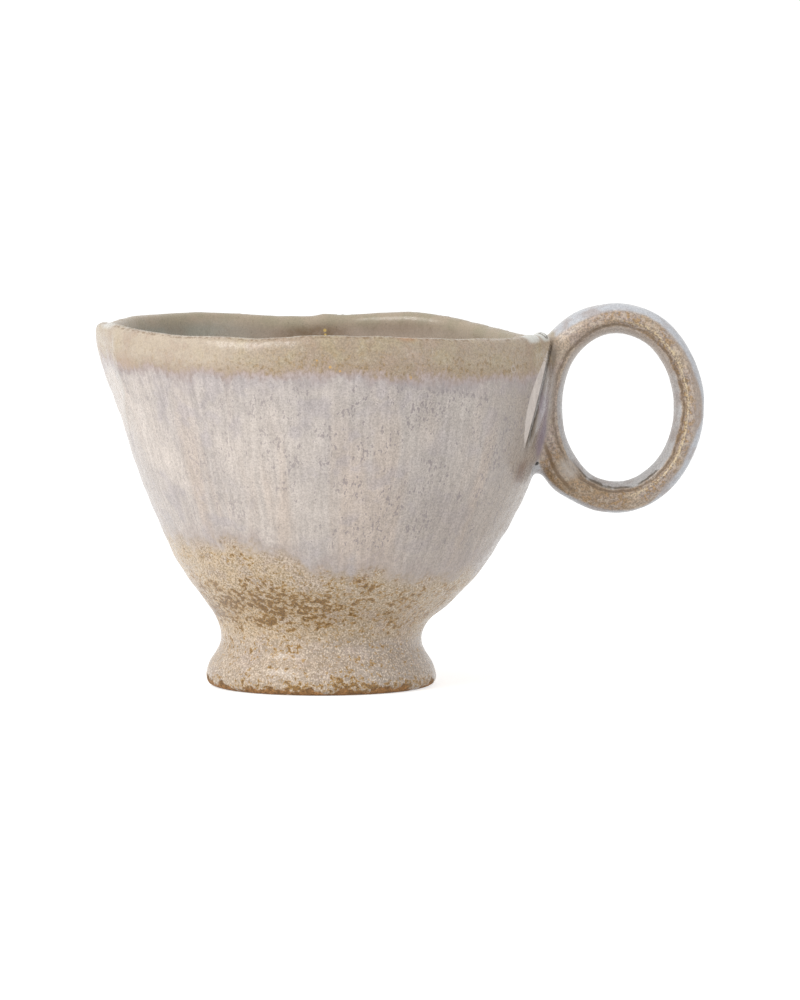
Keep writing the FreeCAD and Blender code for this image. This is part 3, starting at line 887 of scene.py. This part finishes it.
def joint_colour(tree, spots, colour):
    """Beside the ring the wall's facet is painted pale as a highlight and its crease dark as shade; the
    glaze below is lilac and rose.
    """
    past, lines = tree.mark("crease"), tree.fade(spots.streak, 0.4, 0.6, 0.5, 0.95)
    front = tree.fade(spots.depth, 0.0, 8.0, 1.0, 0.12)
    window = tree.product(tree.fade(spots.height, 58.0, 64.0), tree.fade(spots.height, 88.0, 84.0), front)
    # Painted shade: an olive-brown band of streaks along the crease beside the ring.
    olive = tree.product(tree.near(past, 1.5, 1.8), window, lines, 0.85)
    colour = tree.blend(olive, colour, JOINT_PAINTED_SHADE)
    # Painted shade: a dark line down the crease itself.
    crease = tree.product(tree.near(past, 0.45, 0.75), window, tree.fade(lines, 0.5, 0.8, 0.75, 1.0))
    colour = tree.blend(crease, colour, CREASE_PAINTED_SHADE)
    # A painted highlight: the narrow facet beside the ring is pale cream.
    facet = tree.fade(tree.mark("facet"), 0.1, -0.15)
    streaked_highlight = tree.shade(FACET_PAINTED_HIGHLIGHT, spots.streak, 0.9, 1.06)
    colour = tree.blend(tree.product(facet, front, 0.95), colour, streaked_highlight)
    lilac = tree.near(tree.total(spots.side, tree.product(spots.height, -0.06)), 50.9, 1.7)
    lilac = tree.product(lilac, tree.fade(spots.height, 56.0, 60.0), tree.fade(spots.height, 78.0, 70.0))
    lilac = tree.product(lilac, tree.fade(tree.mark("inside"), 0.5, 0.1))
    lilac = tree.product(lilac, front, tree.fade(spots.patch, 0.35, 0.55, 0.5, 0.85))
    colour = tree.blend(lilac, colour, POOLED_LILAC)
    rose = tree.product(tree.dot(spots, *ROSE_SPOT, 0.8), tree.fade(spots.streak, 0.3, 0.5, 0.6, 1.0))
    colour = tree.blend(tree.product(rose, 0.7), colour, tree.shade(POOLED_ROSE, spots.streak, 0.8, 1.12))
    web = tree.dot(spots, *JOINT_WEB, 0.6)
    return tree.blend(tree.product(web, 0.8), colour, WEB_WHITE)


def pool_colour(tree, spots, colour):
    """White glaze pooled where the ring meets the lip, with an opened bubble, and a black pinhole below."""
    pool = tree.math("MAXIMUM", tree.dot(spots, *WHITE_BY_RING, 0.35), tree.dot(spots, *WHITE_ON_LIP, 0.4))
    pool = tree.product(pool, tree.fade(spots.height, 86.2, 87.2))
    colour = tree.blend(tree.product(pool, 0.95), colour, POOL_WHITE)
    colour = tree.blend(tree.product(bubble_rim(tree, spots, CRATER, 1.5, 1.0), 0.8), colour, CRATER_GREY)
    return tree.blend(tree.dot(spots, *PINHOLE, 0.3), colour, PINHOLE_BLACK)


def bare_share(tree, spots):
    """1 where the clay is bare: under the foot, and on its edge as far up as the glaze was wiped."""
    wiped = tree.total(1.5, tree.sway(spots.patch, 9.0), tree.sway(spots.mottle, 3.0))
    edge = tree.fade(tree.math("SUBTRACT", spots.height, wiped), 0.35, -0.25)
    return tree.math("MAXIMUM", edge, tree.mark("under"))


def bare_colour(tree, spots):
    """Toasted clay."""
    colour = tree.blend(tree.fade(spots.mottle, 0.42, 0.58), TOASTED_CLAY, BROWN_CLAY)
    colour = tree.blend(tree.fade(spots.height, 0.9, 2.6), colour, DARK_CLAY)
    return tree.shade(colour, spots.grain, 0.75, 1.2)


# The studio.
def seen(tree):
    """1 for rays from the camera, also by way of a reflection or through glass."""
    path = tree.add("ShaderNodeLightPath").outputs
    straight = tree.math("MAXIMUM", path["Is Camera Ray"], path["Is Glossy Ray"])
    return tree.math("MAXIMUM", straight, path["Is Transmission Ray"])


def lay_floor():
    bpy.ops.mesh.primitive_plane_add(size=FLOOR_SIZE)
    floor = bpy.context.object
    floor.name = "floor"
    material = bpy.data.materials.new("white_paper")
    tree = Tree(material)
    paper = tree.add("ShaderNodeBsdfDiffuse", {"Color": (PAPER, PAPER, PAPER, 1.0)})
    lift = tree.add("ShaderNodeEmission", {"Color": WHITE, "Strength": FLOOR_LIFT})
    both = tree.add("ShaderNodeAddShader", {0: paper.outputs[0], 1: lift.outputs[0]})
    mixed = tree.add("ShaderNodeMixShader", {0: seen(tree), 1: paper.outputs[0], 2: both.outputs[0]})
    tree.add("ShaderNodeOutputMaterial", {"Surface": mixed.outputs[0]})
    floor.data.materials.append(material)


def light_tent():
    world = bpy.data.worlds.new("tent")
    bpy.context.scene.world = world
    tree = Tree(world)
    dim = tree.add("ShaderNodeBackground", {"Color": WHITE, "Strength": TENT_LIGHT})
    white = tree.add("ShaderNodeBackground", {"Color": WHITE, "Strength": 1.0})
    mixed = tree.add("ShaderNodeMixShader", {0: seen(tree), 1: dim.outputs[0], 2: white.outputs[0]})
    tree.add("ShaderNodeOutputWorld", {"Surface": mixed.outputs[0]})
    add_lamp("key", *KEY)
    add_lamp("fill", *FILL)


def add_lamp(name, place, size, power):
    data = bpy.data.lights.new(name, "AREA")
    data.shape = "RECTANGLE"
    data.size, data.size_y = size
    data.energy = power
    lamp = bpy.data.objects.new(name, data)
    bpy.context.scene.collection.objects.link(lamp)
    lamp.location = place
    lamp.rotation_euler = (Vector(LAMP_AIM) - Vector(place)).to_track_quat("-Z", "Y").to_euler()


def place_camera():
    data = bpy.data.cameras.new("camera")
    data.lens = LENS
    data.sensor_width = SENSOR
    camera = bpy.data.objects.new("camera", data)
    bpy.context.scene.collection.objects.link(camera)
    camera.location = (AIM[0], -CAMERA_DISTANCE, CAMERA_HEIGHT)
    camera.rotation_euler = (Vector(AIM) - camera.location).to_track_quat("-Z", "Y").to_euler()
    bpy.context.scene.camera = camera
    bpy.context.scene.view_settings.view_transform = "Standard"


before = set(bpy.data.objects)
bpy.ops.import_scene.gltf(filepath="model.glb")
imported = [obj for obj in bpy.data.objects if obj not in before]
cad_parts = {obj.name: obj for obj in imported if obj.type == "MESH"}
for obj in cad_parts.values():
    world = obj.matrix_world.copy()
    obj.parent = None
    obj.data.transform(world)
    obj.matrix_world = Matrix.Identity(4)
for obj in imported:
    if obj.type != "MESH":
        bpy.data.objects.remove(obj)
main()
